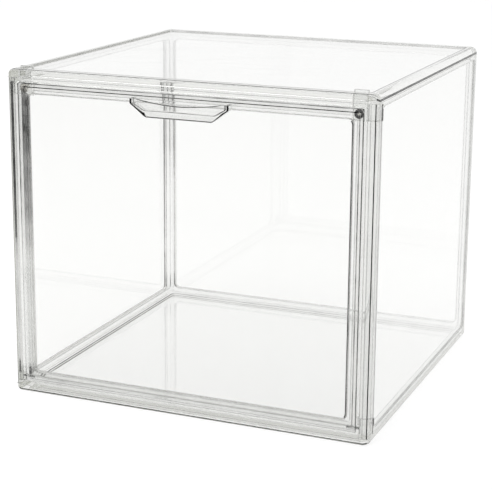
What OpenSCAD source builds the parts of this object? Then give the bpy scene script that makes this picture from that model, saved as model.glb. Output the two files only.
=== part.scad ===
// Clear plastic display case used as a mini greenhouse: five framed panels round a box,
// a front frame, and a drop-down door on two stub pins, held shut by magnets.
// X runs to the right, Y to the back and Z up. The origin is the centre of the space that the
// case takes up on its surface, pull included. All sizes are in millimetres.

/* [Case] */
// Width of the case, side to side
case_w = 350; // [240:1:500]
// Depth of the case, front to back, without the pull
case_d = 336; // [160:1:500]
// Height of the case, without the lugs on top
case_h = 306; // [160:1:450]
// Radius of the upright edges and of the long edges of the top
edge_r = 6.5; // [4:0.1:7]
// Radius of the long edges of the base
foot_r = 4; // [2:0.1:5.5]
// Radius of the top and bottom edges at the front and the back
nose_r = 2.5; // [1:0.1:4]

/* [Panels] */
// Thickness of the top panel at its rim
top_t = 7.5; // [7:0.1:9]
// Thickness of the base panel at its rim
base_t = 6; // [5.8:0.1:8]
// Thickness of the side panels at their rims
side_t = 8.5; // [7.2:0.1:9.5]
// Thickness of the back panel at its rim
back_t = 6.5; // [6:0.1:9]
// Thickness of the clear web inside every rim
web_t = 2.2; // [1.6:0.1:2.4]
// How far the web lies below the rim's outer face
recess = 1.2; // [0.6:0.1:1.5]
// Width of the rims of the top and the base, seen from outside
rim_w = 10; // [7:0.1:12]
// Width of the border on the case's sides and back, seen from outside
wall_border = 12; // [10.5:0.1:14]
// Width of that border along the front of the sides
front_border = 16; // [15.4:0.1:20]
// How far a rim's thick flange runs on past the wall that stands on it
flange_past = 3; // [1:0.1:6]
// Radius in the corners of the webs
web_corner_r = 5; // [3:0.1:6]

/* [Joints between panels] */
// Gap in the seams between panels
seam = 0.15; // [0.1:0.05:0.3]
// Thickness of the locating tongues
tongue_t = 2.4; // [1.6:0.1:3]
// Height of the locating tongues
tongue_h = 2; // [1.2:0.1:2.2]
// Gap round a tongue, a clip or a magnet holder
fit_gap = 0.2; // [0.1:0.05:0.3]
// Distance from the case's corners to the ends of the tongues
tongue_end = 40; // [32:1:60]

/* [Front frame] */
// Depth of the front frame
frame_d = 17; // [16:0.1:20]
// Distance from the case's outside to the doorway, at the sides and the top
door_edge = 12.2; // [11.8:0.1:15]
// Height of the sill under the door
sill_h = 11.9; // [10:0.1:14]
// Width of the stop that the door closes against
stop_w = 7; // [5:0.1:9]
// Thickness of the stop
stop_t = 2.6; // [2:0.1:4]

/* [Door] */
// Thickness of the door at its border
door_t = 6; // [5.6:0.1:7]
// Gap round the door at the sides and the top
door_gap = 0.4; // [0.2:0.1:0.8]
// Gap between the door and the stop, and between the door and the sill
stop_gap = 0.3; // [0.2:0.1:0.6]
// Width of the door's border
border_w = 8.9; // [7:0.1:12]
// Width of the step along the border's outer edge
step_w = 2.6; // [1:0.1:3.5]
// Depth of that step
step_d = 1; // [0.5:0.1:1.5]
// How far the door's web lies behind its border's face
door_recess = 2.2; // [1:0.1:3]
// Radius of the door's top corners
door_corner_r = 4; // [2:0.1:5]

/* [Pull] */
// Width of the pull at its top
pull_top_w = 93; // [70:1:120]
// Width of the pull at its underside
pull_low_w = 62.5; // [40:0.5:68]
// Distance from the door's top edge to the pull's top
pull_start = 4; // [3:0.1:6]
// Distance from the door's top edge to where the pull's sides turn in
pull_turn = 8.4; // [7.5:0.1:11]
// Distance from the door's top edge to the pull's underside
pull_drop = 19.8; // [18:0.1:28]
// How far the pull stands out from the door's face
pull_out = 10; // [7:0.1:11]
// Thickness of the pull's side walls
pull_wall = 3; // [2:0.1:4]
// Thickness of the pull's floor
pull_floor = 5.5; // [2.5:0.1:6.5]
// Thickness of the pull's front lip
lip_t = 2.2; // [1.6:0.1:2.8]
// Distance from the door's top edge to the lowest point of the lip's curved edge
lip_dip = 7.8; // [6:0.1:10]
// How far that curve sags between the side walls
lip_sag = 4.6; // [3:0.1:8]
// Radius of the pull's lower corners
pull_corner_r = 5; // [2:0.1:6]
// Radius of the lower corners inside it
hollow_corner_r = 2.5; // [1:0.1:4]

/* [Hinge] */
// Diameter of the two stub pins
pin_d = 3; // [2.4:0.1:3.2]
// Radial gap between a pin and its bore in the frame
pin_gap = 0.06; // [0.03:0.01:0.1]
// Radial gap between a pin and its glued socket in the door
socket_gap = 0.02; // [0.01:0.01:0.05]
// Length of a pin inside the door
pin_in_door = 8; // [5:0.1:12]
// Gap beyond each end of a pin
pin_end_gap = 0.3; // [0.2:0.1:0.5]

/* [Magnets] */
// Diameter of the magnets
magnet_d = 8; // [6:0.1:8.4]
// Thickness of the magnets
magnet_t = 2.6; // [1.5:0.1:2.8]
// Distance from the case's side and top to a magnet's centre
magnet_inset = 17; // [16.5:0.1:19]
// Gap round a magnet in its pocket
magnet_gap = 0.1; // [0.05:0.01:0.15]
// Diameter of the boss round each door magnet
boss_d = 14; // [12:0.1:15]
// Width of the magnet holders
holder_w = 12.5; // [11:0.1:14]
// Thickness of the magnet holders
holder_t = 3.6; // [3.4:0.1:4.2]
// Distance from a magnet's centre to the foot of its holder
holder_foot = 6; // [5.4:0.1:8]
// How far the holders stand up from the top panel
lug_h = 2.5; // [1:0.1:4]
// Wall of the front frame round a magnet holder
holder_wall = 0.8; // [0.6:0.1:1.5]

/* [Clips] */
// Width of the clips that lock the front frame to the sides
clip_w = 4.6; // [3:0.1:4.8]
// Height of the clips
clip_h = 14; // [8:0.1:18]
// Distance from the case's front to the clips
clip_from_front = 10.2; // [9:0.1:10.4]
// Distance from a seam to the nearest clip
clip_from_seam = 1.5; // [1:0.1:4]
// How far a clip reaches into the front frame
clip_bite = 2; // [1:0.1:2.4]
// How far a clip's head lies below the side's face
clip_sink = 0.4; // [0.2:0.1:0.8]

/* [Hidden] */
$fn = 64;

// A small length, by which cuts run past the faces that they open
past = 1;
// Flats in each rounded corner of the pull
arc_flats = 10;

half_w = case_w / 2;
front_y = -(case_d - pull_out) / 2;
back_y = front_y + case_d;
wall_low = base_t + seam;
wall_high = case_h - top_t - seam;
inner_half_w = half_w - side_t - seam;
frame_back_y = front_y + frame_d;

web_low = recess;
web_high = recess + web_t;

stop_y = front_y + door_t + stop_gap;
frame_tongue_y = (stop_y + stop_t + frame_back_y) / 2;
doorway_half_w = half_w - door_edge;
doorway_top = case_h - door_edge;
view_half_w = doorway_half_w - stop_w;
view_low = sill_h + stop_w;
view_high = doorway_top - stop_w;

door_half_w = doorway_half_w - door_gap;
door_top = doorway_top - door_gap;
hinge_z = sill_h + stop_gap + door_t / 2;
hinge_y = front_y + door_t / 2;
door_back_y = front_y + door_t;

magnet_x = half_w - magnet_inset;
magnet_z = case_h - magnet_inset;
holder_y = stop_y + holder_wall + fit_gap;
holder_low = magnet_z - holder_foot;

clip_low_z = wall_low + clip_from_seam;
clip_high_z = wall_high - clip_from_seam - clip_h;

pull_turn_z = door_top - pull_turn;
pull_low_z = door_top - pull_drop;
pull_high_z = door_top - pull_start;
// Sideways run of the pull's slanted sides for each millimetre of drop
pull_slope = (pull_top_w - pull_low_w) / 2 / (pull_drop - pull_turn);
pull_wall_run = pull_wall * sqrt(1 + pull_slope * pull_slope);
lip_half_w = pull_top_w / 2 - pull_wall;
lip_r = (lip_half_w * lip_half_w + lip_sag * lip_sag) / (2 * lip_sag);

plastic = [0.82, 0.88, 0.9, 0.45];
frame_plastic = [0.76, 0.83, 0.86, 0.55];
clip_plastic = [0.66, 0.72, 0.76, 0.7];
nickel = [0.7, 0.7, 0.68];

function unit(v) = v / norm(v);
function wrap(i, n) = (i + n) % n;

// Box between two opposite corners
module block(low, high) {
    translate(low) cube(high - low);
}

// Rectangle between two corners with rounded corners
module round_rect(low, high, r) {
    translate([low.x + r, low.y]) square([high.x - low.x - 2 * r, high.y - low.y]);
    translate([low.x, low.y + r]) square([high.x - low.x, high.y - low.y - 2 * r]);
    for (x = [low.x + r, high.x - r], y = [low.y + r, high.y - r])
        translate([x, y]) circle(r);
}

function turned(v, angle) = [v.x * cos(angle) - v.y * sin(angle),
                             v.x * sin(angle) + v.y * cos(angle)];

// Points that round one corner: an arc that touches both sides, as flats of equal length
function corner_points(corner, last, next, r) =
    let (to_last = unit(last - corner), to_next = unit(next - corner),
         half_angle = acos(to_last * to_next) / 2,
         centre = corner + unit(to_last + to_next) * r / sin(half_angle),
         start = corner + to_last * r / tan(half_angle) - centre,
         sweep = sign(cross(to_next, to_last)) * (180 - 2 * half_angle))
    r == 0 ? [corner] : [for (i = [0:arc_flats]) centre + turned(start, sweep * i / arc_flats)];

// Convex outline whose corners are rounded by the radii listed
module round_outline(points, radii) {
    n = len(points);
    polygon([for (i = [0:n - 1])
        each corner_points(points[i], points[wrap(i - 1, n)], points[wrap(i + 1, n)], radii[i])]);
}

// Turns an outline drawn in X and Z into a solid from one Y to another
module along_y(from, to) {
    translate([0, to, 0]) rotate([90, 0, 0]) linear_extrude(to - from) children();
}

// Turns an outline drawn in Y and Z into a solid from one X to another
module along_x(from, to) {
    translate([from, 0, 0]) rotate([90, 0, 90]) linear_extrude(to - from) children();
}

// Turns an outline drawn in X and Y into a solid from one Z to another
module along_z(from, to) {
    translate([0, 0, from]) linear_extrude(to - from) children();
}

// Outer form of the whole case: where its plan, its front view and its side view meet
module case_form() {
    intersection() {
        along_z(0, case_h) round_rect([-half_w, front_y], [half_w, back_y], edge_r);
        along_y(front_y, back_y) {
            round_rect([-half_w, foot_r], [half_w, case_h], edge_r);
            round_rect([-half_w, 0], [half_w, case_h / 2], foot_r);
        }
        along_x(-half_w, half_w) round_rect([front_y, 0], [back_y, case_h], nose_r);
    }
}

// Plan of the tongues that the walls and the frame hold into the top and the base
module tongue_plan(grow) {
    side_x = half_w - side_t / 2;
    for (x = [-side_x, side_x])
        translate([x, front_y + case_d / 2])
            square([tongue_t + 2 * grow, case_d - 2 * tongue_end + 2 * grow], center = true);
    for (y = [back_y - back_t / 2, frame_tongue_y])
        translate([0, y])
            square([case_w - 2 * tongue_end + 2 * grow, tongue_t + 2 * grow], center = true);
}

// The part of the tongues that lies over one wall, above and below it
module wall_tongues(low, high) {
    intersection() {
        union() {
            along_z(base_t - tongue_h, wall_low + past) tongue_plan(0);
            along_z(wall_high - past, case_h - top_t + tongue_h) tongue_plan(0);
        }
        block([low.x, low.y, 0], [high.x, high.y, case_h]);
    }
}

// Tongues on the back panel's upright edges, and the grooves that take them
module back_side_tongues(grow) {
    reach = half_w - side_t + tongue_h + grow;
    for (s = [-1, 1])
        translate([s * (inner_half_w - past + reach) / 2, back_y - back_t / 2, case_h / 2])
            cube([reach - inner_half_w + past, tongue_t + 2 * grow,
                  case_h - 2 * tongue_end + 2 * grow], center = true);
}

module base_panel() {
    color(plastic)
    difference() {
        intersection() {
            case_form();
            block([-half_w, front_y, 0], [half_w, back_y, base_t]);
        }
        along_z(-past, web_low)
            round_rect([-half_w + rim_w, front_y + rim_w], [half_w - rim_w, back_y - rim_w],
                       web_corner_r);
        along_z(web_high, base_t + past) inner_plan();
        along_z(base_t - tongue_h - fit_gap, base_t + past) tongue_plan(fit_gap);
    }
}

// Plan of the thin part of the top and the base, inside the flanges that the walls stand on
module inner_plan() {
    round_rect([-half_w + side_t + flange_past, frame_back_y + flange_past],
               [half_w - side_t - flange_past, back_y - back_t - flange_past], web_corner_r);
}

module top_panel() {
    color(plastic)
    difference() {
        intersection() {
            case_form();
            block([-half_w, front_y, case_h - top_t], [half_w, back_y, case_h]);
        }
        along_z(case_h - web_low, case_h + past)
            round_rect([-half_w + rim_w, front_y + rim_w], [half_w - rim_w, back_y - rim_w],
                       web_corner_r);
        along_z(case_h - top_t - past, case_h - web_high) inner_plan();
        along_z(case_h - top_t - past, case_h - top_t + tongue_h + fit_gap) tongue_plan(fit_gap);
        for (s = [-1, 1]) holder_body(s, fit_gap, past);
    }
}

// Side panel: s is -1 for the left one and 1 for the right one
module side_panel(s) {
    x_in = s * (half_w - side_t);
    color(plastic)
    difference() {
        union() {
            intersection() {
                case_form();
                block([min(x_in, s * half_w), front_y, wall_low],
                      [max(x_in, s * half_w), back_y, wall_high]);
            }
            wall_tongues([min(x_in, s * half_w), front_y], [max(x_in, s * half_w), back_y]);
        }
        side_web_cut(s * (half_w - recess), s * (half_w + past), wall_border);
        side_web_cut(s * (half_w - side_t - past), s * (half_w - web_high),
                     back_t + flange_past);
        back_side_tongues(fit_gap);
        for (z = [clip_low_z, clip_high_z]) clip_body(s, z, fit_gap, half_w + past);
    }
}

// Cut on one face of a side panel, which leaves the rim standing
module side_web_cut(x_a, x_b, back_rim) {
    along_x(min(x_a, x_b), max(x_a, x_b))
        round_rect([front_y + front_border, wall_border],
                   [back_y - back_rim, case_h - wall_border], web_corner_r);
}

module back_panel() {
    color(plastic)
    difference() {
        union() {
            intersection() {
                case_form();
                block([-inner_half_w, back_y - back_t, wall_low], [inner_half_w, back_y, wall_high]);
            }
            wall_tongues([-inner_half_w, back_y - back_t], [inner_half_w, back_y]);
            back_side_tongues(0);
        }
        back_web_cut(back_y - recess, back_y + past);
        back_web_cut(back_y - back_t - past, back_y - web_high);
    }
}

// Cut on one face of the back panel, which leaves the rim standing
module back_web_cut(from, to) {
    along_y(from, to)
        round_rect([-half_w + wall_border, wall_border], [half_w - wall_border, case_h - wall_border],
                   web_corner_r);
}

module front_frame() {
    color(frame_plastic)
    difference() {
        union() {
            difference() {
                intersection() {
                    case_form();
                    block([-inner_half_w, front_y, wall_low], [inner_half_w, frame_back_y, wall_high]);
                }
                // Doorway in front of the stop, the clear view through it, and the space behind it
                block([-doorway_half_w, front_y - past, sill_h], [doorway_half_w, stop_y, doorway_top]);
                block([-view_half_w, front_y, view_low], [view_half_w, frame_back_y + past, view_high]);
                block([-doorway_half_w, stop_y + stop_t, sill_h],
                      [doorway_half_w, frame_back_y + past, doorway_top]);
            }
            wall_tongues([-inner_half_w, front_y], [inner_half_w, frame_back_y]);
            for (s = [-1, 1]) holder_housing(s);
        }
        for (s = [-1, 1]) {
            holder_body(s, fit_gap, past);
            for (z = [clip_low_z, clip_high_z]) clip_body(s, z, fit_gap, half_w);
            hinge_bore(s);
        }
    }
}

// Walls that the front frame puts round a magnet holder
module holder_housing(s) {
    side = holder_w / 2 + fit_gap + holder_wall;
    low = holder_low - fit_gap - holder_wall;
    back = holder_y + holder_t + fit_gap + holder_wall;
    block([s * magnet_x - side, stop_y, low], [s * magnet_x + side, back, wall_high]);
}

// Bore in the frame for a stub pin, from the doorway to the side panel
module hinge_bore(s) {
    translate([s * (doorway_half_w + inner_half_w) / 2, hinge_y, hinge_z])
        rotate([0, 90, 0])
            cylinder(d = pin_d + 2 * pin_gap, h = inner_half_w - doorway_half_w + 2 * past, center = true);
}

// Clip at height z on side s, grown by a gap, from the front frame out to x_out
module clip_body(s, z, grow, x_out) {
    x_in = inner_half_w - clip_bite - grow;
    y = front_y + clip_from_front;
    translate([s * (x_in + x_out) / 2, y + clip_w / 2, z + clip_h / 2])
        cube([x_out - x_in, clip_w + 2 * grow, clip_h + 2 * grow], center = true);
}

// Clear clip pushed through the side panel into the front frame
module clip(s, z) {
    color(clip_plastic) clip_body(s, z, 0, half_w - clip_sink);
}

// Upright bar of a magnet holder, grown by a gap; up is how far it runs past the lug's height
module holder_body(s, grow, up) {
    block([s * magnet_x - holder_w / 2 - grow, holder_y - grow, holder_low - grow],
          [s * magnet_x + holder_w / 2 + grow, holder_y + holder_t + grow, case_h + lug_h + up]);
}

module magnet_holder(s) {
    color(clip_plastic)
    difference() {
        holder_body(s, 0, 0);
        disc(s, holder_y - past, holder_y + magnet_t + 2 * magnet_gap, magnet_d / 2 + magnet_gap);
    }
}

// Round disc on a magnet's axis, from one Y to another
module disc(s, from, to, r) {
    translate([s * magnet_x, to, magnet_z]) rotate([90, 0, 0]) cylinder(r = r, h = to - from);
}

module frame_magnet(s) {
    color(nickel) disc(s, holder_y + magnet_gap, holder_y + magnet_gap + magnet_t, magnet_d / 2);
}

module door_magnet(s) {
    color(nickel)
        disc(s, door_back_y - magnet_gap - magnet_t, door_back_y - magnet_gap, magnet_d / 2);
}

// Outline of the door above its hinge line, moved in by an edge width
module door_outline(inset) {
    difference() {
        round_rect([-door_half_w + inset, hinge_z - 2 * door_corner_r],
                   [door_half_w - inset, door_top - inset], door_corner_r);
        translate([-half_w, hinge_z - 3 * door_corner_r]) square([case_w, 3 * door_corner_r]);
    }
}

// Outline of the pull and of the pad that it stands on
module pull_outline() {
    round_outline([[-pull_top_w / 2, pull_high_z], [-pull_top_w / 2, pull_turn_z],
                   [-pull_low_w / 2, pull_low_z], [pull_low_w / 2, pull_low_z],
                   [pull_top_w / 2, pull_turn_z], [pull_top_w / 2, pull_high_z]],
                  [0, 0, pull_corner_r, pull_corner_r, 0, 0]);
}

// Hollow of the pull, open at the top
module pull_hollow_outline() {
    floor_z = pull_low_z + pull_floor;
    low_half = pull_low_w / 2 - pull_wall_run + pull_slope * pull_floor;
    round_outline([[-lip_half_w, pull_high_z + past], [-lip_half_w, pull_turn_z],
                   [-low_half, floor_z], [low_half, floor_z],
                   [lip_half_w, pull_turn_z], [lip_half_w, pull_high_z + past]],
                  [0, 0, hollow_corner_r, hollow_corner_r, 0, 0]);
}

module door() {
    color(plastic)
    difference() {
        union() {
            difference() {
                along_y(front_y, door_back_y) door_outline(0);
                // The web lies between the border's faces
                along_y(front_y - past, front_y + door_recess) door_web_outline();
                along_y(front_y + door_recess + web_t, door_back_y + past) door_web_outline();
            }
            // Rounded lower edge, centred on the pins
            translate([0, hinge_y, hinge_z]) rotate([0, 90, 0])
                cylinder(d = door_t, h = 2 * door_half_w, center = true);
            // Round bosses for the magnets, and the pad under the pull
            intersection() {
                along_y(front_y, door_back_y) door_outline(0);
                for (s = [-1, 1]) disc(s, front_y, door_back_y, boss_d / 2);
            }
            along_y(front_y, front_y + door_recess + web_t / 2)
                intersection() {
                    pull_outline();
                    door_outline(step_w);
                }
        }
        // Step along the border's outer edge
        along_y(front_y - past, front_y + step_d)
            difference() {
                translate([-half_w, hinge_z + door_t / 2]) square([case_w, case_h]);
                door_outline(step_w);
            }
        for (s = [-1, 1]) {
            disc(s, door_back_y - magnet_t - 2 * magnet_gap, door_back_y + past, magnet_d / 2 + magnet_gap);
            translate([s * (door_half_w - (pin_in_door + pin_end_gap - past) / 2), hinge_y, hinge_z])
                rotate([0, 90, 0])
                    cylinder(d = pin_d + 2 * socket_gap, h = pin_in_door + pin_end_gap + past, center = true);
        }
    }
}

// Clear part of the door inside its border
module door_web_outline() {
    round_rect([-door_half_w + border_w, hinge_z - door_t / 2 + border_w],
               [door_half_w - border_w, door_top - border_w], door_corner_r);
}

module door_pull() {
    lip_y = front_y - pull_out;
    color(frame_plastic)
    difference() {
        along_y(lip_y, front_y) pull_outline();
        along_y(lip_y + lip_t, front_y + past) pull_hollow_outline();
        translate([0, lip_y + lip_t, door_top - lip_dip + lip_r]) rotate([90, 0, 0])
            cylinder(r = lip_r, h = lip_t + past);
    }
}

module hinge_pin(s) {
    x_in = door_half_w - pin_in_door;
    x_out = inner_half_w - pin_end_gap;
    color(clip_plastic)
    translate([s * (x_in + x_out) / 2, hinge_y, hinge_z]) rotate([0, 90, 0])
        cylinder(d = pin_d, h = x_out - x_in, center = true);
}

base_panel();
back_panel();
side_panel(-1);  // left_panel
side_panel(1);  // right_panel
top_panel();
front_frame();
clip(-1, clip_high_z);  // clip_top_left
clip(1, clip_high_z);  // clip_top_right
clip(-1, clip_low_z);  // clip_bottom_left
clip(1, clip_low_z);  // clip_bottom_right
magnet_holder(-1);  // magnet_holder_left
magnet_holder(1);  // magnet_holder_right
frame_magnet(-1);  // frame_magnet_left
frame_magnet(1);  // frame_magnet_right
door();
door_pull();
hinge_pin(-1);  // hinge_pin_left
hinge_pin(1);  // hinge_pin_right
door_magnet(-1);  // door_magnet_left
door_magnet(1);  // door_magnet_right
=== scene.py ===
"""Looks of a clear plastic display case with a drop-down door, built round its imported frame."""

import math

import bpy
import numpy as np
from mathutils import Matrix


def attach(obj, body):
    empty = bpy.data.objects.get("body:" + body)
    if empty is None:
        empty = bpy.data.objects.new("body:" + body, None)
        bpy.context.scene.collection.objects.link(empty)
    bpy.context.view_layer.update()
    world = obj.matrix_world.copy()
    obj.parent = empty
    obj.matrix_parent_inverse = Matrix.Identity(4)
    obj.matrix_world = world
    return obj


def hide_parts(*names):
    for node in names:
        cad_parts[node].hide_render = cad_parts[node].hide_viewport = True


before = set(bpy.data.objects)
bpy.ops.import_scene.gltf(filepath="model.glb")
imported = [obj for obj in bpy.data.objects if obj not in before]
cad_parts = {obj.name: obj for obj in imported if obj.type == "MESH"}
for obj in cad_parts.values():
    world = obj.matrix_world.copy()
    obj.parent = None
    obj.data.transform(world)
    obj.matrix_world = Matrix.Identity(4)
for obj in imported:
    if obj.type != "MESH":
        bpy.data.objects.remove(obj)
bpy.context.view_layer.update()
MM = 0.001

# Base panel
# The tray that the case stands on: one shot of crystal-clear plastic, with a thick rim all
# round a thin web. Its rim carries the walls, and its lower edges are rounded in the mould.

SMALL_ARC, SMALL_STEPS, ARC_STEPS = 1.5, 3, 10
LEAST_R = 0.15
CORNER_STEPS = 8
SHARP = math.radians(30)


def eased(at, reach, closed):
    """Arcs that round the corners of a path of rings. at is indexed by corner, column and
    coordinate, and reach is how far from its corner an arc starts, for each corner and column.
    The arc's points are corner + reach * (back * (1 - sin t) + on * (1 - cos t)), where back
    and on point to the corner's neighbours and t runs over a right angle. An open path starts
    and ends level."""
    last, following = np.roll(at, 1, 0), np.roll(at, -1, 0)
    if not closed:
        last[0], following[-1] = at[0] + [1, 0], at[-1] + [1, 0]
    back, on = (
        v / np.linalg.norm(v, axis=-1, keepdims=True) for v in (last - at, following - at)
    )
    arcs = []
    for k, widest in enumerate(reach.max(1)):
        steps = SMALL_STEPS if widest < SMALL_ARC else ARC_STEPS
        t = np.linspace(0, math.pi / 2, 1 + steps * (widest > 0))[:, None, None]
        bend = back[k] * (1 - np.sin(t)) + on[k] * (1 - np.cos(t))
        arcs.append(at[k] + reach[k][:, None] * bend)
    return arcs


def rounded(corners, closed):
    """Insets, depths, plan radii and tones of a profile's rings, its corners rounded. A row
    holds a corner's inset from the panel's outline, its depth below the panel's face, its
    rounding and its radius in plan, then the tone of the face that follows, which is its
    painted shade. A small rounding gets the painted shade of the mould's creases and a large
    one the face's, unless the row goes on with tones that share it evenly. Each value is one
    number, or four for the low and high side along a and along b. Rings closer in have a
    smaller radius, by how far they moved."""
    inset, depth, reach, plan = (
        np.array([np.broadcast_to(row[k], 4) for row in corners], float) for k in range(4)
    )
    arcs = eased(np.stack([inset, depth], -1), reach, closed)
    radii, tones = [], []
    for row, arc, r, edge in zip(corners, arcs, plan, inset):
        moved = arc[..., 0].mean(-1, keepdims=True) - edge.mean()
        radii.append(np.maximum(r - moved, LEAST_R))
        creases = row[5:] or [LINE if len(arc) == SMALL_STEPS + 1 else row[4]]
        for crease, part in zip(creases, np.array_split(arc[1:], len(creases))):
            tones += [np.broadcast_to(crease, 4)] * len(part)
        tones.append(np.broadcast_to(row[4], 4))
    rings = np.concatenate(arcs)
    return rings[..., 0], rings[..., 1], np.concatenate(radii), np.array(tones, float)


def nest(extents, inset, depth, radii, turns=CORNER_STEPS):
    """Points of nested rounded rectangles, a ring to a row. At angle f through a corner of
    radius r, a point is the arc's centre plus r * (cos f, sin f), turned for its corner, and
    its depth goes from one side's to the next one's as the square of sin f."""
    low_a, high_a, low_b, high_b = (
        (extents[k] + (1 - 2 * (k % 2)) * inset[:, k])[:, None] for k in range(4)
    )
    f = np.linspace(0, math.pi / 2, turns + 1)
    c, s = np.cos(f), np.sin(f)
    r = radii[:, :, None]
    a = [low_a + r[:, 0] * (1 - c), high_a - r[:, 1] * (1 - s),
         high_a - r[:, 2] * (1 - c), low_a + r[:, 3] * (1 - s)]
    b = [low_b + r[:, 0] * (1 - s), low_b + r[:, 1] * (1 - c),
         high_b - r[:, 2] * (1 - s), high_b - r[:, 3] * (1 - c)]
    d = [depth[:, [i]] * c**2 + depth[:, [j]] * s**2 for i, j in ((0, 2), (2, 1), (1, 3), (3, 0))]
    return np.stack([np.concatenate(v, 1) for v in (a, b, d)], -1)


def skin(name, rings, tones, closed=False):
    """Mesh object over a grid of points whose columns close on themselves. Rows are joined by
    quads, and the first and last are filled, or joined to each other if closed is set. tones
    holds the tones of each band between two rows, and its last row is the fillings'."""
    rows, columns = rings.shape[:2]
    at = np.arange(rows * columns).reshape(rows, columns)
    lower, upper = (at, np.roll(at, -1, 0)) if closed else (at[:-1], at[1:])
    quads = np.stack([lower, np.roll(lower, -1, 1), np.roll(upper, -1, 1), upper], -1)
    faces = quads.reshape(-1, 4).tolist()
    tones = np.array(tones, float).reshape(len(tones), -1) + np.zeros(columns)
    shades = tones[: len(lower)].ravel().tolist()
    if not closed:
        faces += [at[0][::-1].tolist(), at[-1].tolist()]
        shades += [tones[-1, 0]] * 2
    mesh = bpy.data.meshes.new(name)
    mesh.from_pydata(rings.reshape(-1, 3) * MM, [], faces)
    mesh.attributes.new("tone", "FLOAT", "FACE").data.foreach_set("value", shades)
    piece = bpy.data.objects.new(name, creased(mesh))
    bpy.context.scene.collection.objects.link(piece)
    return piece


def creased(mesh):
    """The closed mesh with its faces outwards and its sharper creases kept sharp. Its
    volume, a sixth of the sum of a . (b x c) over its triangles, tells which way it lies."""
    mesh.update()
    mesh.calc_loop_triangles()
    points = np.zeros(len(mesh.vertices) * 3)
    triangles = np.zeros(len(mesh.loop_triangles) * 3, int)
    mesh.vertices.foreach_get("co", points)
    mesh.loop_triangles.foreach_get("vertices", triangles)
    a, b, c = points.reshape(-1, 3)[triangles.reshape(-1, 3)].transpose(1, 0, 2)
    if np.einsum("ij,ij->", a, np.cross(b, c)) < 0:
        mesh.flip_normals()
    mesh.shade_smooth()
    mesh.set_sharp_from_angle(angle=SHARP)
    return mesh


def moulded(name, extents, corners, placing, closed=False):
    """Piece whose profile runs round a rectangle. placing is the axis that a, b and depth
    run along, the outer face's place on the last, and 1 or -1 for the way into the piece."""
    inset, depth, radii, tones = rounded(corners, closed)
    local = nest(extents, inset, depth, radii)
    axis_a, axis_b, axis_d, face, way = placing
    points = np.zeros_like(local)
    points[..., axis_a], points[..., axis_b] = local[..., 0], local[..., 1]
    points[..., axis_d] = face + way * local[..., 2]
    halves = [CORNER_STEPS // 2, CORNER_STEPS // 2 + 1]
    side = np.repeat([0, 2, 2, 1, 1, 3, 3, 0], halves * 4)
    return skin(name, points, tones[:, side], closed)


class Signal:
    """A socket in a node tree. Sums and products of signals and numbers add Math nodes."""

    def __init__(self, tree, socket=None):
        self.tree, self.socket = tree, socket

    def node(self, kind, settings=(), sockets=(), output=0):
        """Adds a node: its settings, then the values or links of its sockets."""
        made = self.tree.nodes.new("ShaderNode" + kind)
        for name, value in dict(settings).items():
            if name == "stops":
                steps = made.color_ramp.elements
                while len(steps) < len(value):
                    steps.new(1)
                for step, (place, level) in zip(steps, value):
                    step.position, step.color = place, (level, level, level, 1)
            else:
                setattr(made, name, value)
        for name, value in dict(sockets).items():
            if isinstance(value, Signal):
                self.tree.links.new(value.socket, made.inputs[name])
            else:
                made.inputs[name].default_value = value
        return Signal(self.tree, made.outputs[output]) if made.outputs else None

    def math(self, operation, *values):
        """Adds a Math node of that operation."""
        return self.node("Math", {"operation": operation}, enumerate(values))

    def __add__(self, other):
        return self.math("ADD", self, other)

    def __sub__(self, other):
        return self.math("SUBTRACT", self, other)

    def __rsub__(self, other):
        return self.math("SUBTRACT", other, self)

    def __mul__(self, other):
        return self.math("MULTIPLY", self, other)

    __radd__, __rmul__ = __add__, __mul__


def new_material(name):
    """An empty material of that name, and a signal to start its nodes from."""
    material = bpy.data.materials.new(name)
    material.use_nodes = True
    material.node_tree.nodes.clear()
    return material, Signal(material.node_tree)


# Dark colour of the painted shade on the plastic's edges and creases
PAINTED_SHADE_INK = (0.01, 0.01, 0.0095, 1)
# Colour of the painted pale glint that glows in trapped rims
GLINT = (0.78, 0.78, 0.77, 1)
BODY_TINT, BODY_DENSITY = (0.925, 0.928, 0.912, 1), 40.0
# Where the left rims start, and the height over which their painted shade fades as if lit from
# the table
LEFT_RIMS, RIM_TOP = -0.12, 0.3
MOST_REFLECTIONS, MOST_BOUNCES = 3.5, 10.5


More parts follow.
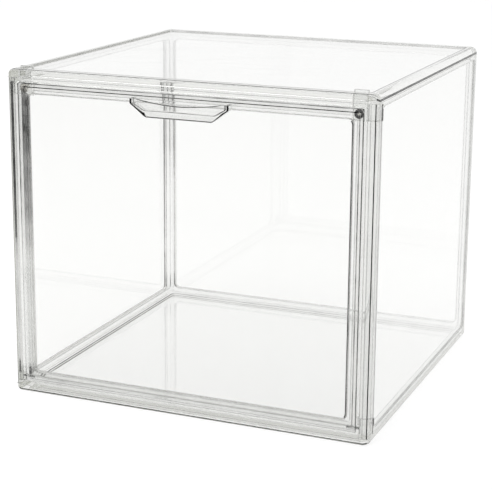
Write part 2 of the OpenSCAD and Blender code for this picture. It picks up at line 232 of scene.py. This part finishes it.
def clear_plastic(name, clear, rough):
    """Crystal-clear moulded plastic. Its tone attribute paints shade: it darkens the rims and
    the mould's creases in patches, and the darkest faces are painted as a near-black mirror
    that blocks light altogether, in place of the dark lines that total reflection makes in
    the real edges. On the left rims this painted shade fades below mid height, painted
    lighter where light comes in from the table. Tones under 0 are for pieces so close that
    light goes straight on from one to the other. Faint flow marks bend the faces by a few
    thousandths, and fine handling scratches roughen them here and there. Light that is still
    inside a rim after its last reflection shows as a painted pale glint, an emission, where
    the renderer would show black."""
    material, start = new_material(name)
    here = start.node("TexCoord", output="Object")
    flow = start.node("TexNoise", {}, {"Vector": here, "Scale": 14.0, "Detail": 2.0})
    patches = start.node("TexNoise", {}, {"Vector": here, "Scale": 45.0, "Detail": 3.0})
    drawn_out = start.node("Mapping", {}, {"Vector": here, "Scale": (900, 900, 60)})
    rubs = start.node("TexNoise", {}, {"Vector": drawn_out, "Scale": 1.0, "Detail": 3.0})
    scratches = start.node("ValToRGB", {"stops": [(0.62, 0), (0.72, 1)]}, {"Fac": rubs})
    handled = start.node("ValToRGB", {"stops": [(0.5, 0), (0.7, 1)]}, {"Fac": patches})
    worn = scratches * handled
    tone = start.node("Attribute", {"attribute_name": "tone"}, output="Fac")
    across = start.node("SeparateXYZ", {}, {0: here}, output="X")
    height = start.node("SeparateXYZ", {}, {0: here}, output="Z")
    # Painted light: the left rims' painted shade fades below mid height, as if lit from the table
    painted_fade_by_height = start.node(
        "ValToRGB",
        {"stops": [(0.05, 1), (0.1, 0.29), (0.4, 0.29), (0.46, 0.35), (0.6, 0.85), (0.8, 1)]},
        {"Fac": height * (1 / RIM_TOP)},
    )
    painted_table_light = 1 + start.math("LESS_THAN", across, LEFT_RIMS) * (painted_fade_by_height * 1.15 - 1)
    # Painted shade: the face tone, varied in patches, darkens rims and creases
    painted_shade = tone * (patches * 1.2 + 0.4) * painted_table_light
    tint_and_painted_shade = start.node("Mix", {"data_type": "RGBA"}, {0: painted_shade, 6: clear, 7: PAINTED_SHADE_INK}, output=2)
    # The darkest painted shade turns the plastic into a near-black mirror
    painted_black = start.node("ValToRGB", {"stops": [(0.55, 0), (0.9, 1)]}, {"Fac": painted_shade * 0.4})
    marks = flow + worn * 0.004
    relief = start.node("Bump", {}, {"Strength": 1.0, "Distance": 0.0001, "Height": marks})
    plastic = start.node(
        "BsdfPrincipled",
        {},
        {"Base Color": tint_and_painted_shade, "Roughness": rough + worn * 0.08, "IOR": 1.49,
         "Transmission Weight": 1.0, "Metallic": painted_black, "Normal": relief},
    )
    window = start.node("BsdfTransparent", {}, {"Color": (0.98, 0.98, 0.98, 1)})
    lamp_ray = start.node("LightPath", output="Is Shadow Ray")
    straight = start.math("MAXIMUM", lamp_ray, tone * -1)
    surface = start.node("MixShader", {}, {0: straight, 1: plastic, 2: window})
    # Painted glint: past the last reflections or bounces the plastic glows pale instead of going
    # black
    reflections = start.node("LightPath", output="Glossy Depth")
    bounces = start.node("LightPath", output="Ray Depth")
    painted_glint_mask = start.math(
        "MAXIMUM",
        start.math("GREATER_THAN", reflections, MOST_REFLECTIONS),
        start.math("GREATER_THAN", bounces, MOST_BOUNCES),
    )
    painted_glint = start.node("Emission", {}, {"Color": GLINT, "Strength": 1.0})
    surface = start.node("MixShader", {}, {0: painted_glint_mask, 1: surface, 2: painted_glint})
    body = start.node("VolumeAbsorption", {}, {"Color": BODY_TINT, "Density": BODY_DENSITY})
    start.node("OutputMaterial", {}, {"Surface": surface, "Volume": body})
    return material


def stand_for(piece, node, body, material):
    """Gives a finished piece its material, and puts it in the place of the CAD node."""
    piece.data.materials.clear()
    piece.data.materials.append(material)
    piece.modifiers.new("face_weighted", "WEIGHTED_NORMAL").keep_sharp = True
    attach(piece, body)
    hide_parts(node)


# Tones of faces, from those that light goes straight through to those that block it. From FACE up
# they are painted shade, from a faint shade on faces to painted black lines on edges
TOUCHING, CLEAR, FACE, LINE, DARK, BLACK = -1.0, 0.0, 0.07, 0.4, 0.9, 3.0
PALE = (0.967, 0.968, 0.963, 1)
FRONT, REAR, HALF_W = -163, 173, 175
CASE = (-HALF_W, HALF_W, FRONT, REAR)
RIM, RECESS, WEB = 10, 1.2, 3.4
INNER = (11.5, 11.5, 20, 9.5)
SEATS = (8.5, 8.5, 17, 6.5)
SOFT, CREASE, SEAM_EASE = 0.5, 0.6, 0.25
CASE_R, RIM_R = 6.5, 5
BASE_T, UNDER_EASE = 6, (4, 4, 2.5, 2.5)
panel_clear = clear_plastic("panel_clear", PALE, 0.01)
# The rows' tones paint shade on the base's rims, creases and lower edges
base = moulded(
    "base",
    CASE,
    [
        (RIM, RECESS, SOFT, RIM_R, FACE),
        (RIM, 0, CREASE, RIM_R, TOUCHING, FACE),
        (0, 0, UNDER_EASE, CASE_R, FACE, 0.3, 0.2, (0.3, 0.4, 1.4, 0.3)),
        (0, BASE_T, SEAM_EASE, CASE_R, TOUCHING, (0.1, 0.3, 0.6, 0.1)),
        (SEATS, BASE_T, 0, RIM_R, FACE),
        (INNER, BASE_T, CREASE, RIM_R, FACE, (1.4, 1, 0.5, 0.6)),
        (INNER, WEB, SOFT, RIM_R, CLEAR, (1, 0.8, 0.5, 0.6)),
    ],
    (0, 1, 2, 0, 1),
)
stand_for(base, "base_panel", "case", panel_clear)

# Back panel
# A plain framed sheet that closes the back. It drops between the side panels. The tongues
# of its rim, which sit in grooves of the base, the top and the sides, are left out.

WALLS = (6.15, 298.35)
INSIDE = (-166.35, 166.35, *WALLS)
BACK_T, BACK_RIM = 6.5, (3.35, 3.35, 5.85, 4.35)
EDGE_EASE, SQUARE_R = 0.3, 0.5
# The rows' tones paint shade on the back's rim and creases
back = moulded(
    "back",
    INSIDE,
    [
        (BACK_RIM, RECESS, SOFT, RIM_R, FACE),
        (BACK_RIM, 0, CREASE, RIM_R, FACE),
        (0, 0, EDGE_EASE, SQUARE_R, TOUCHING),
        (0, BACK_T, EDGE_EASE, SQUARE_R, FACE),
        (BACK_RIM, BACK_T, CREASE, RIM_R, (0.5, FACE, FACE, FACE), (2, 0.5, LINE, LINE)),
        (BACK_RIM, WEB, SOFT, RIM_R, CLEAR),
    ],
    (0, 2, 1, REAR, -1),
)
stand_for(back, "back_panel", "case", panel_clear)

# Side panels
# Two mirrored mouldings. Their thick upright rims are rounded off outside, where they make
# the case's upright edges, and the front rim is the widest, because the front frame locks
# to it: two slots near its ends take the clips.


def box_rings(low, high):
    """Two rings of four corners, one at the lowest z and one at the highest."""
    (x0, y0, z0), (x1, y1, z1) = low, high
    ring = np.array([(x0, y0, 0), (x1, y0, 0), (x1, y1, 0), (x0, y1, 0)], float)
    return ring + np.array([0, 0, 1.0]) * np.array([z0, z1])[:, None, None]


def carved(piece, operation, *tools):
    """Cuts the tools, which are objects, out of piece or adds them to it, and removes them."""
    for tool in tools:
        step = piece.modifiers.new("carve", "BOOLEAN")
        step.operation, step.solver, step.object = operation, "EXACT", tool
    graph = bpy.context.evaluated_depsgraph_get()
    mesh = bpy.data.meshes.new_from_object(piece.evaluated_get(graph))
    piece.modifiers.clear()
    piece.data = creased(mesh)
    for tool in tools:
        bpy.data.objects.remove(tool)


CLIP_Y = (-152.8, -148.2)
CLIP_Z = {"bottom": (7.65, 21.65), "top": (282.85, 296.85)}
CLIP_X = (164.35, 174.6)
LOOSE = 0.2


def clip_slots(side, out):
    """Tools for the slots of the two clips of one side, out to that distance from the middle."""
    made = []
    for low, high in CLIP_Z.values():
        ends = sorted(side * x for x in (CLIP_X[0] - LOOSE, out))
        rings = box_rings(
            (ends[0], CLIP_Y[0] - LOOSE, low - LOOSE), (ends[1], CLIP_Y[1] + LOOSE, high + LOOSE)
        )
        made.append(skin("slot", rings, [CLEAR, CLEAR]))
    return made


SIDES = ((-1, "left"), (1, "right"))
SIDE_T, SIDE_R, PAST_SIDE = 8.5, 0.4, 180
OUTER_RIM, INNER_RIM = (16, 12, 5.85, 4.35), (16, 9.5, 5.85, 4.35)
RIM_LINE = (15, 9.6, 5, 3.5)
SIDE_EASE, SIDE_SEATS = (6.5, 6.5, 0.25, 0.25), (15.4, 6.5, 0.4, 0.4)
for side, name in SIDES:
    # The left panel's rear rim gets black painted shade and the right one's a lighter painted
    # shade; the other tones paint shade on rims and edges
    rear_rim_shade = BLACK if side < 0 else 0.5
    panel = moulded(
        f"{name}_side",
        (FRONT, REAR, *WALLS),
        [
            (OUTER_RIM, RECESS, SOFT, RIM_R, (1.5, rear_rim_shade, LINE, LINE), (1.8, rear_rim_shade, 0.6, 0.6)),
            (OUTER_RIM, 0, CREASE, RIM_R, (FACE, rear_rim_shade, FACE, FACE), (1.8, rear_rim_shade, 0.6, 0.6)),
            (RIM_LINE, 0, 0, RIM_R, FACE),
            (0, 0, SIDE_EASE, SIDE_R, (FACE, FACE, TOUCHING, TOUCHING),
             0.3, 0.15, 0.15, (2.4, 0.2, 0.1, 0.1), 0.15, 0.15, 0.15, (0.6, 0.2, 0.1, 0.1)),
            (0, SIDE_T, EDGE_EASE, SIDE_R, TOUCHING),
            (SIDE_SEATS, SIDE_T, 0, SIDE_R, FACE),
            (INNER_RIM, SIDE_T, CREASE, RIM_R, FACE, (LINE, 1.3, LINE, LINE)),
            (INNER_RIM, WEB, SOFT, RIM_R, CLEAR, (LINE, 2.2, LINE, LINE)),
        ],
        (1, 2, 0, side * HALF_W, -side),
    )
    carved(panel, "DIFFERENCE", *clip_slots(side, PAST_SIDE))
    stand_for(panel, f"{name}_panel", "case", panel_clear)

# Top panel
# The lid of the case, moulded like the base but thicker, with its two long edges rounded to
# the same radius as the case's upright edges. Two slots at its front take the magnet holders.

HOLDER_X, HOLDER_Y, HOLDER_Z = (151.75, 164.25), (-155.7, -152.1), (283, 308.5)


def holder_room(side, loose, low, high, tone):
    """A block round a magnet holder's plan, that much larger all round, from low to high."""
    ends = sorted(side * x for x in (HOLDER_X[0] - loose, HOLDER_X[1] + loose))
    rings = box_rings((ends[0], HOLDER_Y[0] - loose, low), (ends[1], HOLDER_Y[1] + loose, high))
    return skin("room", rings, [tone, tone])


CASE_H, TOP_T = 306, 7.5
TOP_LINE = 1.7
TOP_EASE = (6.5, 6.5, 2.5, 2.5)
SLOT_Z = (290, 312)
# The rows' tones paint shade on the top's rims, creases and rounded edges
top = moulded(
    "top",
    CASE,
    [
        (RIM, RECESS, SOFT, RIM_R, FACE, (0.3, 1.2, 0.9, 0.5)),
        (RIM, 0, CREASE, RIM_R, (FACE, 1.9, 1.1, 0.3), (0.4, 1.8, 1.3, 0.6)),
        (RIM - TOP_LINE, 0, 0, RIM_R, FACE),
        (0, 0, TOP_EASE, CASE_R, FACE,
         (0.7, 0.15, 1.6, 0.6), (0.15, 0.1, 0.1, 0.1), 0.1, (0.3, 1.7, 0.15, 0.3)),
        (0, TOP_T, SEAM_EASE, CASE_R, TOUCHING, (1.2, 0.6, 0.3, 0.3)),
        (SEATS, TOP_T, 0, RIM_R, FACE),
        (INNER, TOP_T, CREASE, RIM_R, FACE),
        (INNER, WEB, SOFT, RIM_R, CLEAR),
    ],
    (0, 1, 2, CASE_H, -1),
)
carved(top, "DIFFERENCE", *(holder_room(side, LOOSE, *SLOT_Z, FACE) for side, _ in SIDES))
stand_for(top, "top_panel", "case", panel_clear)

# Front frame
# The ring that the door closes into, moulded in one with a thin stop that runs round behind
# the door and with a socket in each top corner for a magnet holder. Stub bores near the sill
# take the door's pins.


def turned(name, centre, profile, axis, tones, turns=6):
    """Disc, pin or pocket, a surface of revolution about a line along the axis. Each row of
    profile is a place along the axis and the radius of the circle there."""
    rings = []
    for place, radius in profile:
        flat = nest((-radius, radius, -radius, radius), *(np.zeros((1, 4)),) * 2,
                    np.full((1, 4), radius), turns)[0]
        flat = np.delete(flat, np.arange(turns, len(flat), turns + 1), 0)
        rings.append(np.insert(flat[:, :2], axis, place, axis=1))
    middle = np.insert(np.array(centre, float), axis, 0)
    return skin(name, np.array(rings) + middle, tones)


LAND, STOP = (3.55, 3.55, 5.75, 4.55), (10.55, 10.55, 12.75, 11.55)
STOP_FACE, STOP_BACK, RING_T = 6.3, 8.9, 17
RING_R, LAND_R, STOP_R = 1.2, 1, 2
RING_EASE, LAND_EASE, STOP_EASE = 0.6, 0.4, 0.5
SOCKET_WALL, SOCKET_TOP, ROOM_TOP = 0.8, 298, 302
PIN_AT, BORE_X, BORE_R = (-160, 15.2), (162, 167), 1.56
PAST_RING = 168
frame_clear = clear_plastic("frame_clear", PALE, 0.012)
# The rows' tones paint shade on the frame's edges and creases
ring = moulded(
    "front_ring",
    INSIDE,
    [
        (0, 0, RING_EASE, RING_R, FACE, (0.5, 0.5, 0.1, 0.15)),
        (LAND, 0, RING_EASE, LAND_R, (LINE, 0.5, FACE, 0.4), (0.9, 1.3, 0.2, 0.8)),
        (LAND, STOP_FACE, LAND_EASE, LAND_R, FACE, 0.1),
        (STOP, STOP_FACE, STOP_EASE, STOP_R, (0.5, FACE, FACE, FACE)),
        (STOP, STOP_BACK, STOP_EASE, STOP_R, FACE),
        (LAND, STOP_BACK, LAND_EASE, LAND_R, (0.6, FACE, FACE, FACE)),
        (LAND, RING_T, LAND_EASE, LAND_R, FACE),
        (0, RING_T, EDGE_EASE, SQUARE_R, TOUCHING),
    ],
    (0, 2, 1, FRONT, 1),
    closed=True,
)
room_low = HOLDER_Z[0] - LOOSE
sockets = [
    holder_room(side, LOOSE + SOCKET_WALL, room_low - SOCKET_WALL, SOCKET_TOP, CLEAR)
    for side, _ in SIDES
]
carved(ring, "UNION", *sockets)
rooms = [holder_room(side, LOOSE, room_low, ROOM_TOP, CLEAR) for side, _ in SIDES]
carved(ring, "DIFFERENCE", *rooms)
for side, _ in SIDES:
    bore = turned("bore", PIN_AT, [(side * x, BORE_R) for x in BORE_X], 0, [LINE] * 2)
    carved(ring, "DIFFERENCE", bore, *clip_slots(side, PAST_RING))
stand_for(ring, "front_frame", "case", frame_clear)

# Clips
# Four small clear blocks pushed through the side panels into the front frame, which lock the
# frame in. Their heads lie just below the side's face.

CLIP_TINT = (0.98, 0.985, 0.98, 1)
CLIP_LONG, CLIP_R = CLIP_X[1] - CLIP_X[0], 0.8
HEAD_INSET, HEAD_EASE, TAIL_EASE = 2.1, 0.5, 0.4
clip_clear = clear_plastic("clip_clear", CLIP_TINT, 0.02)
for side, name in SIDES:
    for level, (low, high) in CLIP_Z.items():
        clip = moulded(
            f"{level}_{name}_clip",
            (*CLIP_Y, low, high),
            [
                # The head's rim and rounded edge are painted black as shade
                (HEAD_INSET, 0, 0, LEAST_R, BLACK),
                (0, 0, HEAD_EASE, CLIP_R, CLEAR, BLACK),
                (0, CLIP_LONG, TAIL_EASE, CLIP_R, CLEAR),
            ],
            (1, 2, 0, side * CLIP_X[1], -side),
        )
        stand_for(clip, f"clip_{level}_{name}", "case", clip_clear)

# Magnets and their holders
# Nickel-plated discs, 8 mm across. Two sit in clear bars that are dropped through the top
# panel's slots into the frame, where the bars' heads stand a little above the top. The
# others are pressed into the door's top corners from behind.

MAGNET_X, MAGNET_Z, MAGNET_R = 158, 289, 4
CASE_DISC_Y, DOOR_DISC_Y = -155.6, -159.7
BAR_T, BAR_EASE, BAR_R = 3.6, 0.5, 0.7
BAR_POCKET_Y, POCKET_R = (-157, -152.9), 4.1
# The dark colour is a painted reflection of the dark room in the mirror-like nickel
NICKEL, PAINTED_DARK_REFLECTION = (0.9, 0.88, 0.8, 1), (0.012, 0.012, 0.011, 1)
nickel, start = new_material("magnet_nickel")
here = start.node("TexCoord", output="Object")
across = start.node("SeparateXYZ", {}, {0: here}, output="X")
height = start.node("SeparateXYZ", {}, {0: here}, output="Z")
x_off = start.math("ABSOLUTE", across) - MAGNET_X * MM
z_off = height - MAGNET_Z * MM
out = start.math("SQRT", x_off * x_off + z_off * z_off) * (1 / (MAGNET_R * MM))
grain = start.node("TexNoise", {}, {"Vector": here, "Scale": 900.0, "Detail": 4.0})
cloud = start.node("TexNoise", {}, {"Vector": here, "Scale": 260.0, "Detail": 2.0})
# The left disc's painted reflection is shifted lighter
left_one = start.math("LESS_THAN", across, 0.0)
# Painted reflection: a light centre and a dark ring, paler at the edge, and on the left disc
# mostly light with dark patches
painted_reflection_share = start.node(
    "ValToRGB",
    {"stops": [(0.28, 0.95), (0.4, 0.01), (0.9, 0), (0.98, 0.3)]},
    {"Fac": out - left_one * 0.7 + (cloud - 0.5) * 0.6},
)
plate_and_painted_reflection = start.node("Mix", {"data_type": "RGBA"}, {0: painted_reflection_share, 6: PAINTED_DARK_REFLECTION, 7: NICKEL}, output=2)
metal = start.node(
    "BsdfPrincipled", {}, {"Base Color": plate_and_painted_reflection, "Metallic": 1.0, "Roughness": 0.12 + grain * 0.16}
)
start.node("OutputMaterial", {}, {"Surface": metal})


def magnet(name, side, front):
    """Disc with turned edges and a face dished by 0.15 mm, its front at that y."""
    ends = [(0.15, 1.6), (0, 3.3), (0.1, 3.75), (0.35, 4), (2.25, 4), (2.5, 3.75), (2.6, 3.3)]
    profile = [(front + place, radius) for place, radius in ends]
    return turned(name, (side * MAGNET_X, MAGNET_Z), profile, 1, [0] * len(ends))


for side, name in SIDES:
    holder = moulded(
        f"{name}_magnet_bar",
        (*sorted(side * x for x in HOLDER_X), *HOLDER_Z),
        [(0, 0, BAR_EASE, BAR_R, FACE), (0, BAR_T, BAR_EASE, BAR_R, FACE)],
        (0, 2, 1, HOLDER_Y[0], 1),
    )
    ends = [(y, POCKET_R) for y in BAR_POCKET_Y]
    pocket = turned("pocket", (side * MAGNET_X, MAGNET_Z), ends, 1, [FACE] * 2)
    carved(holder, "DIFFERENCE", pocket)
    stand_for(holder, f"magnet_holder_{name}", "case", clip_clear)
    disc = magnet(f"{name}_case_disc", side, CASE_DISC_Y)
    stand_for(disc, f"frame_magnet_{name}", "case", nickel)
    disc = magnet(f"{name}_door_disc", side, DOOR_DISC_Y)
    stand_for(disc, f"door_magnet_{name}", "door", nickel)

# Door
# A moulded panel with a raised border, a step round the border's outer edge, and a rounded
# lower edge that rolls in front of the sill as the door drops open on its two pins. Round
# bosses hold its magnets.

DOOR, DOOR_T, DOOR_R = (-162.4, 162.4, 12.2, 293.4), 6, (0.5, 0.5, 4, 4)
WEB_FRONT, WEB_BACK = 2.2, 4.4
BORDER, BORDER_LINE, BORDER_EASE, BORDER_R = 8.9, 1.1, 0.7, 4
STEP_TOP, STEP_FOOT = (2.6, 2.6, 5.2, 2.6), (2.6, 2.6, 4.2, 2.6)
STEP, STEP_EASE, STEP_R = (1, 1, 0, 1), 0.25, (0.5, 0.5, 2.2, 2.2)
FRONT_EASE, BACK_EASE = (0.4, 0.4, 3, 0.4), (0.5, 0.5, 3, 0.5)
BOSS_Y, BOSS_RADII = (-162.9, -162.6, -157.4, -157.1), (6.6, 7, 7, 6.6)
TRIM_X, TRIM_LOW, TRIM_HIGH = (140, 159.5), (-165, 270), (-150, 290.5)
DOOR_POCKET_Y = (-159.8, -155)
SOCKET_X, SOCKET_R = (154.1, 164), 1.52
door_clear = clear_plastic("door_clear", PALE, 0.01)
door = moulded(
    "door_sheet",
    DOOR,
    [
        # The rows' tones paint shade on the border's edges, dark to black
        (BORDER + BORDER_LINE, WEB_FRONT, 0, BORDER_R, (FACE, BLACK, FACE, CLEAR)),
        (BORDER, WEB_FRONT, CREASE, BORDER_R, (0.6, 2, 0.3, 0.15), (0.6, BLACK, 0.4, 0.15)),
        (BORDER, 0, BORDER_EASE, BORDER_R, (0.75, FACE, FACE, FACE), (0.8, 0.8, 0.3, 0.1)),
        (STEP_TOP, 0, CREASE, STEP_R, (DARK, 0.5, FACE, 2), (1.4, 0.9, 0.3, 2)),
        (STEP_FOOT, STEP, STEP_EASE, STEP_R, FACE),
        (0, STEP, FRONT_EASE, DOOR_R, (0.6, 0.8, FACE, 0.6), (0.6, 1, 0.12, 1)),
        (0, DOOR_T, BACK_EASE, DOOR_R, FACE),
        (BORDER, DOOR_T, BORDER_EASE, BORDER_R, FACE),
        (BORDER, WEB_BACK, CREASE, BORDER_R, CLEAR),
    ],
    (0, 2, 1, FRONT, 1),
)
bosses, pockets = [], []
for side, _ in SIDES:
    middle = (side * MAGNET_X, MAGNET_Z)
    # The boss's front chamfer and sides get painted shade
    boss = turned("boss", middle, zip(BOSS_Y, BOSS_RADII), 1, [1.6, 0.6, 0.6, FACE], 10)
    ends = sorted(side * x for x in TRIM_X)
    trim = skin("trim", box_rings((ends[0], *TRIM_LOW), (ends[1], *TRIM_HIGH)), [FACE] * 2)
    carved(boss, "INTERSECT", trim)
    bosses.append(boss)
    ends = [(y, POCKET_R) for y in DOOR_POCKET_Y]
    pockets.append(turned("pocket", middle, ends, 1, [LINE] * 2))
    ends = [(side * x, SOCKET_R) for x in SOCKET_X]
    pockets.append(turned("bore", PIN_AT, ends, 0, [FACE] * 2))
carved(door, "UNION", *bosses)
carved(door, "DIFFERENCE", *pockets)
stand_for(door, "door", "door", door_clear)

# Hinge pins
# Two clear stub pins, glued in the door's lower corners, which turn in the frame's bores.
# Their ends are chamfered.

PIN_X, PIN_RADII = (154.4, 154.6, 165.85, 166.05), (1.3, 1.5, 1.5, 1.3)
for side, name in SIDES:
    ends = [(side * x, radius) for x, radius in zip(PIN_X, PIN_RADII)]
    # The pins' chamfers are painted black and their sides a lighter painted shade
    pin = turned(f"{name}_pin", PIN_AT, ends, 0, [BLACK, 0.6, BLACK, DARK])
    stand_for(pin, f"hinge_pin_{name}", "door", clip_clear)

# Door pull
# A trough bonded to the top of the door: two slanted side walls, a floor and a front lip
# whose upper edge sags in a shallow curve. Fingers hook in from above.

PULL_FACE, BONDED, LIP_T = -173, -163.02, 2.2
PULL_TOP, PULL_TURN, PULL_LOW, FLOOR_TOP = 289.4, 285, 273.6, 279.1
TOP_HALF, LOW_HALF = 46.5, 31.25
HOLLOW_TOP_HALF, HOLLOW_LOW_HALF = 43.5, 33.6
LIP_HALF, LIP_LOW, LIP_R = 39.4, 285.6, 208.0
SHOULDER = 0.2
SLANT, HOLLOW_SLANT = 30.5, 33


def bent_line(top_half, low_half, low, reach, steps=10):
    """Points down one slanted side of the pull, along its floor and up the other side, with
    eased corners and that many steps between each two arcs."""
    points = [(-top_half, PULL_TOP), (-top_half, PULL_TURN), (-low_half, low),
              (low_half, low), (top_half, PULL_TURN), (top_half, PULL_TOP)]
    arcs = eased(np.array(points, float)[:, None], np.array([[0, *reach, 0]]).T, False)
    share = np.linspace(0, 1, steps + 1)[1:-1, None]
    joined = [arcs[0][:, 0]]
    for arc in arcs[1:]:
        joined += [joined[-1][-1] + share * (arc[0] - joined[-1][-1]), arc[:, 0]]
    return np.concatenate(joined)


def at_depth(line, y):
    """The line's x and z with that y between them."""
    return np.insert(line, 1, y, axis=1)


outside = bent_line(TOP_HALF, LOW_HALF, PULL_LOW, (0.8, 1.4, 1.4, 0.8))
hollow = bent_line(HOLLOW_TOP_HALF, HOLLOW_LOW_HALF, FLOOR_TOP, (0.5, 1.2, 1.2, 0.5))
walked = np.concatenate([[0], np.linalg.norm(np.diff(outside, axis=0), axis=1).cumsum()])
lip_x = -LIP_HALF + 2 * LIP_HALF * walked / walked[-1]
lip = np.stack([lip_x, LIP_LOW + LIP_R - np.sqrt(LIP_R**2 - lip_x**2)], -1)
lip[[0, -1], 1] = PULL_TOP
section = np.array([
    at_depth(hollow, BONDED),
    at_depth(outside, BONDED),
    at_depth(outside, PULL_FACE),
    at_depth(SHOULDER * outside + (1 - SHOULDER) * hollow, PULL_FACE),
    at_depth(lip, PULL_FACE),
    at_depth(lip, PULL_FACE + LIP_T),
    at_depth(hollow, PULL_FACE + LIP_T),
])
OUTER_EDGE, INNER_EDGE = 2, 6
ease = np.array([[0.2, 0.2, 1.3, 0, 0.8, 0.6, 0.9]]).T * np.ones(len(outside))
arcs = eased(section, ease, True)
# The tones paint shade on the pull's creases and edges
tones = [
    [LINE if k < OUTER_EDGE else 2 * DARK] * (len(arc) - 1) + [FACE] for k, arc in enumerate(arcs)
]
tones[0][-1] = TOUCHING
shades = np.tile(np.concatenate(tones), (len(outside), 1))
# The slanted walls' edges get the darkest painted shade, painted black
outer, inner = (sum(map(len, arcs[:k])) for k in (OUTER_EDGE, INNER_EDGE))
x = outside[:, 0]
shades[x < -SLANT, outer : outer + 4] = BLACK
shades[x > SLANT, outer : outer + 3] = BLACK
shades[x > HOLLOW_SLANT, inner : inner + 3] = BLACK
shades[x < -HOLLOW_SLANT, inner : inner + 3] = 2
shades[-1] = DARK
pull = skin("pull_trough", np.concatenate(arcs).transpose(1, 0, 2), shades)
stand_for(pull, "door_pull", "door", door_clear)

# Table and light
# A white table under a large soft lamp with a weaker one at the left, in a white room. What
# the plastic bends and mirrors of the room is darker in front, so that its edges stand out.

WHITE, ROOM_LIGHT = (1, 1, 1, 1), 0.75
scene = bpy.context.scene
scene.view_settings.view_transform = "Standard"
world = bpy.data.worlds.new("room")
scene.world = world
world.use_nodes = True
world.node_tree.nodes.clear()
start = Signal(world.node_tree)
direction = start.node("TexCoord", output="Generated")
up = start.node("SeparateXYZ", {}, {0: direction}, output="Z")
rearward = start.node("SeparateXYZ", {}, {0: direction}, output="Y")
behind = start.node("ValToRGB", {"stops": [(0.3, 1), (0.5, 0.35), (1.0, 0.5)]}, {"Fac": up})
before = start.node(
    "ValToRGB", {"stops": [(0.28, 1), (0.42, 0.2), (0.8, 0.2), (1.0, 0.6)]}, {"Fac": up}
)
facing = start.node("ValToRGB", {"stops": [(0.4, 0), (0.6, 1)]}, {"Fac": rearward * 0.5 + 0.5})
walls = start.node("Mix", {"data_type": "RGBA"}, {0: facing, 6: before, 7: behind}, output=2)
seen = start.node("LightPath", output="Is Camera Ray")
mirrored = start.node("LightPath", output="Is Glossy Ray")
passed = start.node("LightPath", output="Is Transmission Ray")
bent = start.math("MAXIMUM", mirrored, passed)
plain = start.node("Background", {}, {"Color": WHITE, "Strength": ROOM_LIGHT})
shaped = start.node("Background", {}, {"Color": walls, "Strength": 1.0})
white = start.node("Background", {}, {"Color": WHITE, "Strength": 1.0})
around = start.node("MixShader", {}, {0: bent, 1: plain, 2: shaped})
around = start.node("MixShader", {}, {0: seen, 1: around, 2: white})
start.node("OutputWorld", {}, {"Surface": around})

FAR, TABLE_GAP = 8.0, 0.0002
TABLE_GREY, TABLE_GLOW = (0.28, 0.28, 0.28, 1), 0.79
floor_mesh = bpy.data.meshes.new("table")
corners = [(-FAR, -FAR, 0), (FAR, -FAR, 0), (FAR, FAR, 0), (-FAR, FAR, 0)]
floor_mesh.from_pydata(corners, [], [(0, 1, 2, 3)])
floor = bpy.data.objects.new("table", floor_mesh)
scene.collection.objects.link(floor)
floor.location.z = -TABLE_GAP
table_white, start = new_material("table_white")
seen = start.node("LightPath", output="Is Camera Ray")
for name in ("Is Glossy Ray", "Is Transmission Ray"):
    seen = start.math("MAXIMUM", seen, start.node("LightPath", output=name))
matt = start.node("BsdfDiffuse", {}, {"Color": TABLE_GREY})
glow = start.node("Emission", {}, {"Color": WHITE, "Strength": seen * TABLE_GLOW})
surface = start.node("AddShader", {}, {0: matt, 1: glow})
start.node("OutputMaterial", {}, {"Surface": surface})
floor_mesh.materials.append(table_white)

AIM = (0, 0, 0.15)
for name, place, size, watts in (
    ("overhead", (-0.6, -0.3, 1.9), 1.4, 12),
    ("left_window", (-1.9, -1.0, 0.9), 1.0, 6),
):
    lamp = bpy.data.lights.new(name, "AREA")
    lamp.shape, lamp.size, lamp.energy = "SQUARE", size, watts
    stand = bpy.data.objects.new(name, lamp)
    scene.collection.objects.link(stand)
    stand.location = place
    away = stand.location - type(stand.location)(AIM)
    stand.rotation_euler = away.to_track_quat("Z", "Y").to_euler()

# Camera
# It stands a little above the case and to the right of its front, where the photograph was
# taken.

CAMERA_AT = (0.5281, -1.3032, 0.5003)
LENS, SENSOR_WIDTH, SHIFT = 108.31, 36, -0.06
yaw, pitch, roll = (math.radians(v) for v in (-22.338, 13.942, -0.468))
ahead = np.array(
    [math.sin(yaw) * math.cos(pitch), math.cos(yaw) * math.cos(pitch), -math.sin(pitch)]
)
right = np.array([math.cos(yaw), -math.sin(yaw), 0])
down = np.cross(ahead, right)
right, down = (
    math.cos(roll) * right + math.sin(roll) * down,
    math.cos(roll) * down - math.sin(roll) * right,
)
turn = np.eye(4)
turn[:3] = np.stack([right, -down, -ahead, CAMERA_AT], 1)
camera = bpy.data.objects.new("camera", bpy.data.cameras.new("camera"))
scene.collection.objects.link(camera)
camera.data.sensor_width, camera.data.lens, camera.data.shift_y = SENSOR_WIDTH, LENS, SHIFT
camera.matrix_world = Matrix(turn.tolist())
scene.camera = camera
